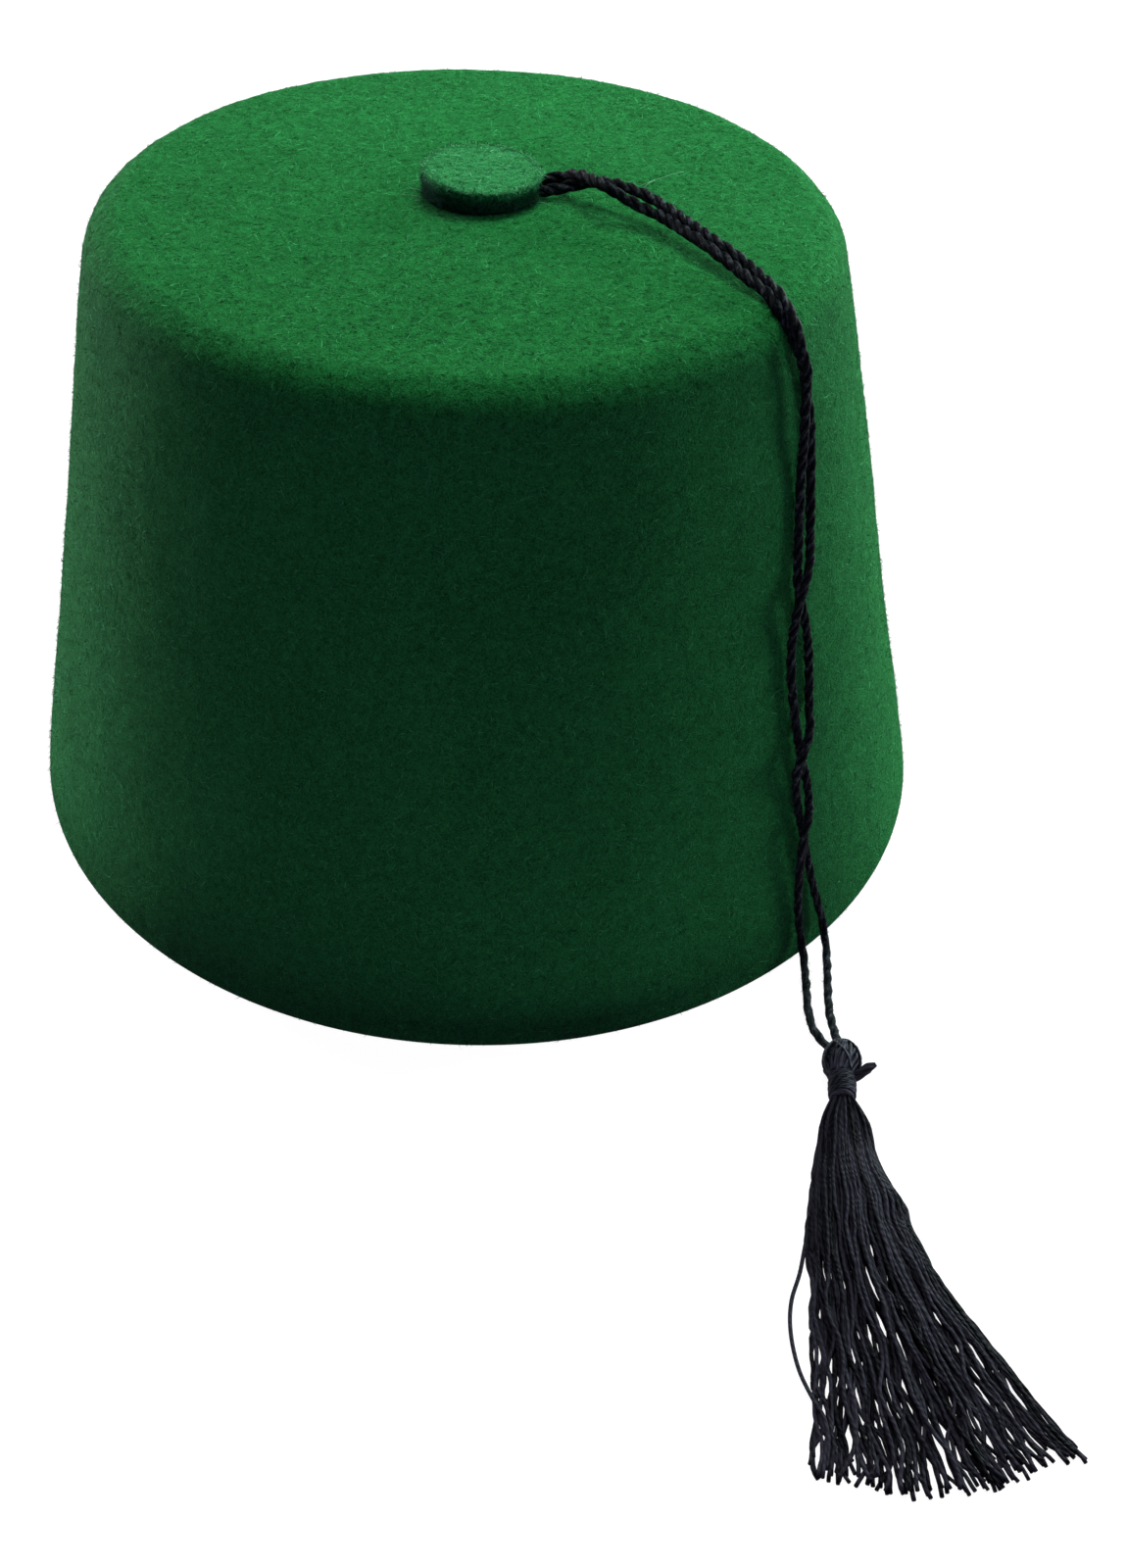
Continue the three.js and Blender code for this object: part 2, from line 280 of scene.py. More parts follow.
def makeThreadMaterial(name, dark, light):
    material, shade, shader = newMaterial(name, thread["look"])
    lay = shade.node("ShaderNodeAttribute", {"attribute_name": "lay"}, output="Vector")
    apart = shade.node("ShaderNodeSeparateXYZ", None, {0: lay})
    across = Shade(shade.tree, apart.socket.node.outputs[1])
    along = Shade(shade.tree, apart.socket.node.outputs[2])
    angle = across.maths("ARCTAN2", across, apart)
    place = inMillimetres(shade)
    # the twist marks the plies in the bump, and a little in the tone as well, which is a painted glint along
    # each ply
    phase = angle * 2 + along * 4.2 + cloud(shade, place, 4.5, 1.0) * 14
    twist = phase.maths("SINE", phase)
    own = shade.node("ShaderNodeNewGeometry", output="Random Per Island")
    wear = cloud(shade, place, thread["wearSize"], 2.0)
    filaments = shade.node("ShaderNodeTexNoise", None, {"Vector": lay, "Scale": 5.0, "Detail": 2.0})
    # painted shade: each thread is lighter on its upper side and darker at its sides and underneath, in the
    # grooves between threads
    paintedShadeByFacing = spread(across * -1, -0.5, 0.85)
    tone = thread["tone"] + twist * 0.12 + (own - 0.5) * 1.25 + (wear - 0.5) * 0.9 + (filaments - 0.5) * 0.9
    tone = tone * (paintedShadeByFacing * 1.05 + 0.12)
    colour = mixColour(spread(tone, 0.0, 1.0), dark, light)
    finishShader(shade, shader, colour, twist * 0.35 + filaments * 0.5, thread["threadBump"])
    return material


feltMaterial = makeFelt("blocked_felt", felt["dark"], felt["light"])
capMaterial = makeFelt("button_felt", felt["capDark"], felt["capLight"])
cutMaterial = makeFelt("cut_felt", felt["cutDark"], felt["cutLight"], withPaintedShade=True)
strandMaterial = makeStrandMaterial("felt_fibres", felt["strandDark"], felt["strandLight"])
# the button's fibres carry a painted highlight in their light end
capStrandMaterial = makeStrandMaterial("button_fibres", felt["capDark"], felt["rimStrandHighlight"])
cutStrandMaterial = makeStrandMaterial("cut_felt_fibres", felt["cutDark"], felt["cutStrandLight"], True)
cordMaterial = makeCordMaterial()
cordHairMaterial = makeStrandMaterial("cord_fibres", thread["cordDark"], thread["cordLight"])
threadMaterial = makeThreadMaterial("twisted_thread", thread["dark"], thread["light"])
# painted light: the head and binding get a lighter copy of the thread's colours
paintedLitHeadMaterial = makeThreadMaterial("head_thread_painted_lit", thread["paintedLitHeadDark"], thread["paintedLitHeadLight"])
print("materials made")


# Mesh helpers
def makePiece(name, points, faces, material, lay=None, normals=None):
    mesh = bpy.data.meshes.new(name)
    mesh.from_pydata((np.asarray(points) * mm).tolist(), [], faces)
    mesh.polygons.foreach_set("use_smooth", [True] * len(mesh.polygons))
    if lay is not None:
        attribute = mesh.attributes.new("lay", "FLOAT_VECTOR", "POINT")
        attribute.data.foreach_set("vector", np.asarray(lay, dtype=np.float32).ravel())
    if normals is not None:
        mesh.normals_split_custom_set_from_vertices(normals.tolist())
    mesh.materials.append(material)
    piece = bpy.data.objects.new(name, mesh)
    bpy.context.scene.collection.objects.link(piece)
    return piece


def unit(vectors):
    return vectors / np.maximum(np.linalg.norm(vectors, axis=-1, keepdims=True), 1e-12)


def smoothCurve(points, perSpan=14):  # a centripetal curve through the points, as in the CAD
    points = np.asarray(points, float)
    padded = np.vstack([2 * points[0] - points[1], points, 2 * points[-1] - points[-2]])
    share = np.linspace(0, 1, perSpan, endpoint=False)[:, None]
    spans = []
    for p0, p1, p2, p3 in zip(padded, padded[1:], padded[2:], padded[3:]):
        d0, d1, d2 = (np.linalg.norm(b - a) ** 0.5 for a, b in ((p0, p1), (p1, p2), (p2, p3)))
        t1 = ((p1 - p0) / d0 - (p2 - p0) / (d0 + d1) + (p2 - p1) / d1) * d1
        t2 = ((p2 - p1) / d1 - (p3 - p1) / (d1 + d2) + (p3 - p2) / d2) * d1
        a = 2 * p1 - 2 * p2 + t1 + t2
        b = -3 * p1 + 3 * p2 - 2 * t1 - t2
        spans.append(((a * share + b) * share + t1) * share + p1)
    return np.vstack(spans + [points[-1:]])


def goneAlong(path):  # the length of a path up to each of its points
    return np.concatenate([[0], np.cumsum(np.linalg.norm(np.diff(path, axis=0), axis=1))])


def stopsOn(path, count):  # points at even distances on a path, and those distances
    gone = goneAlong(path)
    stops = np.linspace(0, gone[-1], count)
    return np.column_stack([np.interp(stops, gone, column) for column in path.T]), stops


def evenly(path, step):
    return stopsOn(path, max(int(round(goneAlong(path)[-1] / step)), 2) + 1)


def framesAlong(path):  # two directions across the path at each point, with no twist of their own
    ahead = unit(np.gradient(path, axis=0))
    first = np.cross(ahead[0], (0.0, 0.0, 1.0) if abs(ahead[0][2]) < 0.9 else (1.0, 0.0, 0.0))
    side = [first / np.linalg.norm(first)]
    for direction in ahead[1:]:
        turned = side[-1] - direction * np.dot(side[-1], direction)
        side.append(turned / np.linalg.norm(turned))
    side = np.array(side)
    return side, np.cross(ahead, side)


def tube(path, angles, radii, along):
    side, over = framesAlong(path)
    ring = np.cos(angles)[..., None] * side[:, None, :] + np.sin(angles)[..., None] * over[:, None, :]
    points = path[:, None, :] + ring * radii[..., None]
    count, sides = radii.shape
    row = np.arange(count - 1)[:, None] * sides
    here, beside = np.arange(sides), (np.arange(sides) + 1) % sides
    quads = np.stack([row + here, row + beside, row + beside + sides, row + here + sides], axis=-1)
    faces = quads.reshape(-1, 4).tolist()
    faces.append(list(range(sides))[::-1])
    faces.append([(count - 1) * sides + i for i in range(sides)])
    lay = np.stack([np.cos(angles), np.sin(angles), np.broadcast_to(along[:, None], angles.shape)], axis=-1)
    return points.reshape(-1, 3), faces, lay.reshape(-1, 3)


def joined(parts):
    points, faces, lays, start = [], [], [], 0
    for part in parts:
        points.append(part[0])
        faces.extend([[i + start for i in face] for face in part[1]])
        lays.append(part[2])
        start += len(part[0])
    return np.vstack(points), faces, np.vstack(lays)


# Crown: one shell of felt, outside, cut edge and inside
crown = {
    "rimRadius": 92,
    "topRadius": 68.1,
    "height": 120.2,
    "lengthen": 195 / 184,  # the rim is this much longer than wide
    "edgeRadius": 7.8,
    "domeRise": 1,
    "thickness": 2.5,
    "columns": 400,
    "wallRings": 90,
    "topRings": 44,
    "unevenness": [(46, 0.35), (13, 0.19), (3.1, 0.115)],  # wavelength and height
    "insideUnevenness": [(30, 0.3), (7, 0.12)],
    "evenBelow": 4,  # it fades out over this height at the rim
    "slope": 0.199,  # how far the wall leans in for each millimetre up
    "cutEdge": [  # how far in, and the height there
        (0.0, 0.45), (0.12, 0.12), (0.45, 0.0), (2.05, 0.0), (2.4, 0.12), (2.5, 0.45),
    ],
}


def outsideProfile():  # radius, height and outward direction, from the rim to the middle of the top
    rim = np.array([crown["rimRadius"], 0.0])
    corner = np.array([crown["topRadius"], crown["height"]])
    wall = unit(corner - rim)
    turn = math.acos(-wall[0])
    back = crown["edgeRadius"] * math.tan(turn / 2)
    start = corner - wall * back
    out = np.array([wall[1], -wall[0]])
    middle = start - out * crown["edgeRadius"]
    lift = math.atan2(out[1], out[0])
    arc = np.linspace(lift, math.pi / 2, 16)[1:]
    spots = [rim + (start - rim) * share for share in np.linspace(0, 1, crown["wallRings"])]
    spots += [middle + crown["edgeRadius"] * np.array([math.cos(a), math.sin(a)]) for a in arc]
    flat = spots[-1][0]
    for share in np.linspace(1, 0.004, crown["topRings"])[1:]:
        spots.append(np.array([flat * share, crown["height"] + crown["domeRise"] * (1 - share ** 2)]))
    spots = np.array(spots)
    along = np.gradient(spots, axis=0)
    return spots, unit(np.column_stack([along[:, 1], -along[:, 0]]))


# The doubled cord: two halves, each of three plies twisted together
cord = {
    "diameter": 1.7,
    "plyOffset": 0.44,
    "plyRadius": 0.44,
    "full": [  # how far along it, and the share that it is thicker there
        (0, 0.34), (12, 0.30), (20, 0.22), (60, 0.22), (75, 0.02), (170, 0), (190, 0.06), (225, 0.10),
    ],
    "pitch": 9.0,
    "loosePitch": 13.0,  # near the tassel, where the twist is slacker
    "looseFrom": 0.72,  # the share of its length where that begins
    "looseOver": 0.12,  # the share that the change takes
    "looseSlim": 0.24,  # how much closer to the middle the plies lie there
    "step": 0.25,
    "sides": 24,
    "clear": 0.95,  # from its middle to the felt
    "hairs": 2600,
    "seed": 9,
    "hairsFrom": 0.74,  # from its middle
    "hairLook": {
        "length": (0.4, 1.5), "width": (0.03, 0.06), "lift": (0.04, 0.26), "curl": 1.4,
        "standing": 0.55, "standingLift": 1.8,
    },
    "right": [
        [11, -4.6, 122.4], [14, -5.5, 122.6], [16.9, -6.5, 123.2], [20.3, -7.9, 124.2],
        [23.3, -11.3, 125.2], [26.1, -15.4, 125.5], [28.7, -20.5, 125.3], [30.5, -26.5, 125],
        [32.4, -32.6, 124.5], [34.3, -38.5, 123.9], [36.3, -43.3, 123.1], [37.6, -48.6, 122.4],
        [38.7, -54.1, 121.6], [39.1, -58.3, 120.4], [39.3, -61.6, 118.5], [39.7, -63.7, 115.3],
        [40.7, -64.3, 111.3], [40.6, -64.7, 107.7], [40.3, -66.1, 101.2], [40, -66.9, 94],
        [39, -71.1, 78], [38.9, -72, 74.6], [39.7, -72.4, 71], [40.6, -72.8, 67],
        [41.3, -73.4, 62.6], [41.5, -74.7, 57], [41.3, -76.6, 50.4], [40.5, -79.5, 47.2],
        [38.5, -81.9, 44.2], [37.4, -82.3, 40.8], [37.6, -82.3, 36], [38.3, -82.8, 31],
        [39.5, -83.4, 25.6], [41.5, -84.7, 15.4], [43.8, -85.9, 6.4], [44.2, -87.4, 3],
        [43.6, -90, 1.4], [42, -94.2, 1], [37.6, -105, 1.2], [34.7, -114.5, 3.6],
        [34.2, -118.2, 3.9],
    ],
    "left": [
        [11.4, -1.2, 122.9], [14.4, -1.7, 123], [17.4, -3, 123.7], [19.2, -6.6, 125.3],
        [20.4, -11.5, 126.3], [21.7, -16.1, 126.5], [23.7, -18, 125.4], [26.1, -21.7, 124.6],
        [28.6, -26, 124.2], [30.4, -32.2, 124], [32.1, -38, 123.7], [34.1, -44.2, 122.9],
        [35.3, -49.3, 122.3], [36.9, -54.2, 121.5], [37.6, -57.6, 119.8],
        [38.6, -60.2, 117.3], [40, -61.4, 114],
        [41.5, -61.4, 109.7], [42.2, -61.8, 105.9], [42.9, -62.5, 101.3], [42.9, -63.9, 96.4],
        [42.3, -67.9, 82.7], [41.3, -71, 78.5], [39.9, -73.2, 75.9], [38.4, -74.7, 73.1],
        [37.5, -75.4, 69], [37, -75.8, 64.3], [36.9, -77.1, 58.4], [37.5, -78.5, 51.6],
        [38.9, -80, 42.2], [40, -80.4, 38], [40.7, -81.3, 33.6], [39.9, -83.9, 30.8],
        [38.6, -85.4, 27.4], [38.2, -86, 22.2], [37.9, -87.5, 11.5], [38.4, -89, 5],
        [38.3, -91.2, 1.9], [36.9, -95.6, 1], [32.8, -107.4, 1.6], [32.1, -114.6, 3.5],
        [33.3, -118.4, 3.8],
    ],
}


def pliedTube(path, turnShift, full, looseFrom):
    even, gone = evenly(path, cord["step"])
    share = gone / gone[-1]
    loose = np.clip((share - looseFrom) / cord["looseOver"], 0, 1)
    pitch = cord["pitch"] + (cord["loosePitch"] - cord["pitch"]) * loose
    twist = np.cumsum(np.full(len(gone), gone[1]) / pitch) * 2 * math.pi + turnShift
    twist = twist + 0.7 * np.sin(gone / 6.7 + turnShift) + 0.35 * np.sin(gone / 2.9)  # not quite even
    around = np.linspace(0, 2 * math.pi, cord["sides"], endpoint=False)[None, :]
    third = 2 * math.pi / 3
    off = (around - twist[:, None] + third / 2) % third - third / 2
    swell = 1 + 0.08 * np.sin(gone * 1.9 + turnShift) + 0.07 * np.sin(gone * 0.83 + 2 * turnShift)
    offset = cord["plyOffset"] * (swell - cord["looseSlim"] * loose)[:, None]
    across = offset * np.sin(off)
    radii = offset * np.cos(off) + np.sqrt(np.maximum(cord["plyRadius"] ** 2 - across ** 2, 0.0036))
    radii *= (1 + np.interp(gone, *zip(*full)))[:, None]
    angles = np.broadcast_to(around, radii.shape)
    points, faces, _ = tube(even, angles, radii, gone)
    crest = np.clip((radii / radii.max(axis=1, keepdims=True) - 0.62) / 0.34, 0, 1)
    ply = np.floor(((around - twist[:, None] + third / 2) / third) % 3)
    alongPly = np.broadcast_to(gone[:, None] * 0.30, off.shape)
    lay = np.stack([off * 2.4 + ply * 9, alongPly, crest], axis=-1).reshape(-1, 3)
    return even, (points, faces, lay)


def offTheFelt(path):  # pushes a path out where it would run into the crown
    spots, outs = outsideProfile()
    around = path[:, :2] / (1, crown["lengthen"])
    radial = np.linalg.norm(around, axis=1)
    place = np.column_stack([radial, path[:, 2]])
    apart = place[:, None] - spots[None]
    nearest = np.linalg.norm(apart, axis=2).argmin(axis=1)
    out = outs[nearest]
    height = np.sum(apart[np.arange(len(path)), nearest] * out, axis=1)
    push = np.clip(cord["clear"] - height, 0, 2)
    push = np.convolve(np.pad(push, 4, mode="edge"), np.ones(9) / 9, "valid")
    outward = np.column_stack([around / radial[:, None] * out[:, :1], out[:, 1]])
    return path + outward * push[:, None]


def makeCordHalf(side, turnShift):
    path = offTheFelt(smoothCurve(cord[side]))
    even, (points, faces, lay) = pliedTube(path, turnShift, cord["full"], cord["looseFrom"])
    name = "cord_" + side
    half = makePiece(name, points, faces, cordMaterial, lay)
    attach(half, "root")
    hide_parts("cord_strand_" + side)
    length = float(np.linalg.norm(np.diff(even, axis=0), axis=1).sum())
    print(name, "is", round(length, 1), "mm long")
    return half, even, length


rightHalf, rightPath, rightLength = makeCordHalf("right", 0.4)
leftHalf, leftPath, leftLength = makeCordHalf("left", 2.1)


def turnedGrid(spots, outs, columns):
    angles = np.linspace(0, 2 * math.pi, columns, endpoint=False)
    c, s, k = np.cos(angles), np.sin(angles), crown["lengthen"]
    heights = np.broadcast_to(spots[:, 1:], (len(spots), columns))
    points = np.stack([spots[:, :1] * c, spots[:, :1] * s * k, heights], -1)
    rise = np.broadcast_to(outs[:, 1:], (len(spots), columns))
    outward = np.stack([outs[:, :1] * c, outs[:, :1] * s / k, rise], -1)
    return points, unit(outward)


def roughen(points, outward, bumps, fade=1.0):
    flatPoints = points.reshape(-1, 3)
    lift = np.zeros(len(flatPoints))
    for index, (size, height) in enumerate(bumps):
        shift = Vector((index * 31.7, 9.1, 4.3))
        lift += height * np.array([noise.noise(Vector(p) / size + shift) for p in flatPoints.tolist()])
    return points + outward * (lift.reshape(points.shape[:2]) * fade)[..., None]


def gridFaces(rings, columns, start=0, flip=False):
    row = np.arange(rings - 1)[:, None] * columns + start
    here, beside = np.arange(columns), (np.arange(columns) + 1) % columns
    corners = [row + here, row + beside, row + beside + columns, row + here + columns]
    return np.stack(corners[::-1] if flip else corners, axis=-1).reshape(-1, 4).tolist()


def makeCrown():
    spots, outs = outsideProfile()
    outside, outward = turnedGrid(spots, outs, crown["columns"])
    fade = np.clip(spots[:, 1] / crown["evenBelow"], 0, 1)[:, None]
    outside = roughen(outside, outward, crown["unevenness"], fade)
    topFrom = len(spots) - crown["topRings"]
    pick = np.concatenate([np.arange(0, topFrom, 3), np.arange(topFrom, len(spots), 3)])
    inSpots = spots[pick] - outs[pick] * crown["thickness"]
    inSpots[0, 1] = 0.0
    inside, inward = turnedGrid(inSpots, outs[pick], crown["columns"])
    fade = np.clip(inSpots[:, 1] / crown["evenBelow"], 0, 1)[:, None]
    inside = roughen(inside, inward, crown["insideUnevenness"], fade)
    edge = []  # the cut edge at the rim, with its corners rubbed round
    for inset, height in crown["cutEdge"]:
        edge.append([crown["rimRadius"] - inset - height * crown["slope"], height])
    edge = np.array(edge)
    rim, _ = turnedGrid(edge, edge * 0 + [0, -1.0], crown["columns"])
    outside[0] = rim[0]
    grid = np.concatenate([inside[::-1][:-1], rim[::-1], outside[1:]])
    faces = gridFaces(len(grid), crown["columns"])
    last = (len(grid) - 1) * crown["columns"]
    faces.append(list(range(crown["columns"]))[::-1])
    faces.append([last + i for i in range(crown["columns"])])
    body = makePiece("crown_felt", grid.reshape(-1, 3), faces, feltMaterial)
    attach(body, "root")
    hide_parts("crown")
    return outside, outward


crownOutside, crownOutward = makeCrown()
print("crown made")


# Loose fibres that lie on the felt and stand up from it a little
fuzz = {
    "pieces": 3,
    "each": 52000,
    "length": (0.5, 1.9),
    "width": (0.05, 0.10),
    "lift": (0.02, 0.14),
    "standing": 0.30,
    "standingLift": 7.0,
    "curl": 1.6,
    "seed": 11,
}


def sampleGrid(points, outward, count, rng):  # random places on a turned surface, even by area
    nextRing, nextColumn = np.roll(points, -1, axis=0), np.roll(points, -1, axis=1)
    cell = np.linalg.norm(np.cross(nextRing - points, nextColumn - points), axis=2)[:-1]
    chance = cell.ravel() / cell.sum()
    chosen = rng.choice(cell.size, size=count, p=chance)
    ring, column = np.divmod(chosen, points.shape[1])
    u, v = rng.random(count)[:, None], rng.random(count)[:, None]
    other = (column + 1) % points.shape[1]
    place = (points[ring, column] * (1 - u) + points[ring + 1, column] * u) * (1 - v)
    place += (points[ring, other] * (1 - u) + points[ring + 1, other] * u) * v
    return place, outward[ring, column]


def fibreRibbons(place, outward, rng, look):
    count = len(place)
    between = lambda pair: rng.uniform(pair[0], pair[1], count)[:, None]
    dizzy = unit(rng.normal(size=(count, 3)))
    ahead = unit(dizzy - outward * np.sum(dizzy * outward, axis=1, keepdims=True))
    side = np.cross(outward, ahead)
    length, width, lift = (between(look[key]) for key in ("length", "width", "lift"))
    bend = rng.normal(size=(count, 1)) * look["curl"] * 0.5
    roll = rng.uniform(-0.7, 0.7, count)[:, None]
    stand = (rng.random((count, 1)) < look["standing"]).astype(float)
    tall = look["standingLift"]
    rows = []
    for share in (0.0, 0.5, 1.0):
        reach = length * share
        sway = bend * length * share * share * 0.5
        height = lift * (4 * share * (1 - share) * (1 - stand) + share * stand * tall) - 0.03
        spine = place + ahead * reach + side * sway + outward * height
        heading = unit(ahead + side * bend * share)
        across = np.cross(outward, heading) * np.cos(roll) + outward * np.sin(roll)
        if share < 1:
            rows += [spine - across * width * 0.5, spine + across * width * 0.5]
        else:
            rows.append(spine)
    points = np.stack(rows, axis=1).reshape(-1, 3)
    start = np.arange(count)[:, None] * 5
    faces = (start + np.array([[0, 2, 3, 1]])).tolist() + (start + np.array([[2, 4, 3]])).tolist()
    tilt = unit(outward + rng.normal(size=(count, 3)) * 0.2)
    return points, faces, np.repeat(tilt, 5, axis=0)


def layFibres(name, place, outward, rng, look, material, lowest):
    points, faces, normals = fibreRibbons(place, outward, rng, look)
    points[:, 2] = np.maximum(points[:, 2], lowest)
    return makePiece(name, points, faces, material, None, normals)


def makeFuzz():
    rng = np.random.default_rng(fuzz["seed"])
    for index in range(fuzz["pieces"]):
        place, outward = sampleGrid(crownOutside, crownOutward, fuzz["each"], rng)
        coat = layFibres("felt_fibres_%d" % (index + 1), place, outward, rng, fuzz, strandMaterial, onFloor)
        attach(coat, "root")


makeFuzz()
print("fibres laid on the crown")


def makeCordHairs():
    rng = np.random.default_rng(cord["seed"])
    places, outs = [], []
    for path in (rightPath, leftPath):
        side, over = framesAlong(path)
        chosen = rng.integers(4, len(path) - 4, cord["hairs"])
        angle = rng.uniform(0, 2 * math.pi, (cord["hairs"], 1))
        ring = side[chosen] * np.cos(angle) + over[chosen] * np.sin(angle)
        places.append(path[chosen] + ring * cord["hairsFrom"])
        outs.append(ring)
    place, outward, look = np.vstack(places), np.vstack(outs), cord["hairLook"]
    hairs = layFibres("cord_fibres", place, outward, rng, look, cordHairMaterial, onFloor)
    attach(hairs, "root")


makeCordHairs()


# Button: a cut disc of felt on the middle of the top, with a groove under it for the cord
button = {
    "place": (3.5, 0.5),
    "radius": 11,
    "low": 121.4,
    "high": 125.7,
    "edge": 0.5,
    "lean": (-0.050, 0.045),  # the top rises this much for each millimetre along X and Y
    "footInset": 0.7,
    "columns": 150,
    "grooveAngle": -0.36,
    "grooveHalfWidth": 0.42,
    "grooveRise": 2.75,
    "grooveFrom": 6.6,  # from the middle
    "grooveRamp": 0.8,
    "topRows": 27,  # rows of its grid, from the middle of the top to the cut side
    "restsAt": 121.25,  # just over the crown's top
    "unevenness": [(5, 0.14), (1.4, 0.10)],
    "fibres": 9000,
    "seed": 5,
    "topBand": (0, 24),  # the rows that each kind of fibre stands on
    "edgeBand": (20, 28),
    "sideBand": (29, 38),
    "topFibres": {
        "length": (0.6, 1.8), "width": (0.04, 0.08), "lift": (0.02, 0.10), "curl": 1.2,
        "standing": 0.1, "standingLift": 2.5,
    },
    "edgeFibres": {
        "length": (0.4, 1.3), "width": (0.05, 0.09), "lift": (0.10, 0.34), "curl": 1.6,
        "standing": 0.6, "standingLift": 2.0,
    },
    "sideFibres": {
        "length": (0.5, 1.7), "width": (0.05, 0.09), "lift": (0.10, 0.50), "curl": 1.8,
        "standing": 0.7, "standingLift": 1.8,
    },
}


def buttonGrid():
    radius, high, low, edge = (button[key] for key in ("radius", "high", "low", "edge"))
    rows = [(r, high + 0.12 * (1 - (r / radius) ** 2)) for r in np.linspace(0.1, radius - edge, 22)]
    inset, bend = button["footInset"], np.linspace(0, math.pi / 2, 6)[1:]
    rows += [(radius - edge + edge * math.sin(a), high - edge + edge * math.cos(a)) for a in bend]
    drop = np.linspace(high - edge, low, 10)[1:]
    rows += [(radius - inset * ((high - edge - z) / 3.5) ** 2, z) for z in drop]
    rows += [(r, low) for r in np.linspace(radius - inset, 1, 12)[1:]]
    return np.array(rows)


def makeButton():
    rows = buttonGrid()
    angles = np.linspace(0, 2 * math.pi, button["columns"], endpoint=False)
    points = np.stack([
        rows[:, :1] * np.cos(angles) + button["place"][0],
        rows[:, :1] * np.sin(angles) + button["place"][1],
        np.broadcast_to(rows[:, 1:], (len(rows), button["columns"])),
    ], axis=-1).copy()
    outward = np.zeros_like(points)
    along = unit(np.gradient(rows, axis=0))
    outward[..., 0] = -along[:, 1:] * np.cos(angles)
    outward[..., 1] = -along[:, 1:] * np.sin(angles)
    outward[..., 2] = along[:, :1]
    points = roughen(points, outward, button["unevenness"])
    lean = sum(button["lean"][axis] * (points[..., axis] - button["place"][axis]) for axis in range(2))
    points[..., 2] += lean * np.clip((rows[:, 1:] - button["low"]) / (button["high"] - button["low"]), 0, 1)
    off = np.abs((angles - button["grooveAngle"] + math.pi) % (2 * math.pi) - math.pi)
    opening = np.clip((button["grooveHalfWidth"] - off) / 0.12, 0, 1)[None, :]
    deep = np.clip((rows[:, :1] - button["grooveFrom"]) / button["grooveRamp"], 0, 1)
    lowest = button["low"] + button["grooveRise"] * opening * deep
    points[..., 2] = np.maximum(points[..., 2], np.where(rows[:, 1:] < button["high"] - 0.8, lowest, 0))
    faces = gridFaces(len(rows), button["columns"], flip=True)
    last = (len(rows) - 1) * button["columns"]
    faces.append(list(range(button["columns"])))
    faces.append([last + i for i in range(button["columns"])][::-1])
    disc = makePiece("button_felt", points.reshape(-1, 3), faces, capMaterial)
    disc.data.materials.append(cutMaterial)
    side = button["topRows"] * button["columns"]
    slots = [1 if face[0] >= side else 0 for face in faces]
    slots[-2] = 0  # the small face in the middle of the top
    disc.data.polygons.foreach_set("material_index", slots)
    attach(disc, "root")
    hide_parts("button")
    return points, outward


buttonPoints, buttonOutward = makeButton()


def makeButtonFuzz():
    rng = np.random.default_rng(button["seed"])
    for kind, share, material in (
        ("top", 3, capStrandMaterial),
        ("edge", 5, capStrandMaterial),
        ("side", 1, cutStrandMaterial),
    ):
        rows, look = slice(*button[kind + "Band"]), button[kind + "Fibres"]
        place, outward = sampleGrid(buttonPoints[rows], buttonOutward[rows], button["fibres"] // share, rng)
        coat = layFibres("button_%s_fibres" % kind, place, outward, rng, look, material, button["restsAt"])
        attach(coat, "root")


makeButtonFuzz()
print("button made")


# Tassel: a head of looped threads, a bound neck and a skirt that lies spread on the floor
tassel = {
    "top": (34.9, -116.2, 3.7),
    "lowest": 0.04,
    "seed": 21,
    "heading": 24,  # degrees from -Y towards -X
    "bulbLength": 7.8,
    "bulbRadius": 3.65,
    "bulbForm": [  # the share of its length, and the share of its radius there
        (0, 0.30), (0.04, 0.45), (0.13, 0.70), (0.3, 0.93), (0.48, 1), (0.66, 0.95), (0.84, 0.77), (1, 0.62),
    ],
    "neckLength": 5,
    "neckRadius": 2.2,
    "loops": 46,
    "loopRadius": 0.31,
    "crossLoops": 12,
    "wraps": 11,
    "wrapRadius": 0.25,
    "stubFrom": 2.5,  # past the bulb
    "stubLength": 7.6,
    "stubHeading": 104,  # degrees from -Y towards +X
    "stubRise": 0.22,
    "stubFull": [(0, 0.38), (0.8, 0.30), (1, -0.45)],  # share of its length, thicker by this share
    "stubLoose": 0.2,
}


def headingVector(degrees):  # a level direction, turned from -Y towards -X
    return np.array([-math.sin(math.radians(degrees)), -math.cos(math.radians(degrees)), 0.0])


headAhead = headingVector(tassel["heading"])
headSide = np.cross((0.0, 0.0, 1.0), headAhead)
headUp = np.array([0.0, 0.0, 1.0])
headTop = np.array(tassel["top"])


def onHead(along, out, angle):  # a point by its way down the head, its distance from the axis and its angle
    along, out, angle = np.broadcast_arrays(along, out, angle)
    ring = np.cos(angle)[..., None] * headSide + np.sin(angle)[..., None] * headUp
    return headTop + along[..., None] * headAhead + ring * out[..., None]


def roundTube(path, radius, sides=6, start=0.0):
    angles = np.broadcast_to(np.linspace(0, 2 * math.pi, sides, endpoint=False), (len(path), sides))
    radii = np.asarray(radius, float).reshape(-1, 1) * np.ones((len(path), sides))
    return tube(path, angles, radii, goneAlong(path) + start)


def bulbOut(along):
    form = np.array(tassel["bulbForm"])
    return np.interp(along / tassel["bulbLength"], form[:, 0], form[:, 1]) * tassel["bulbRadius"]


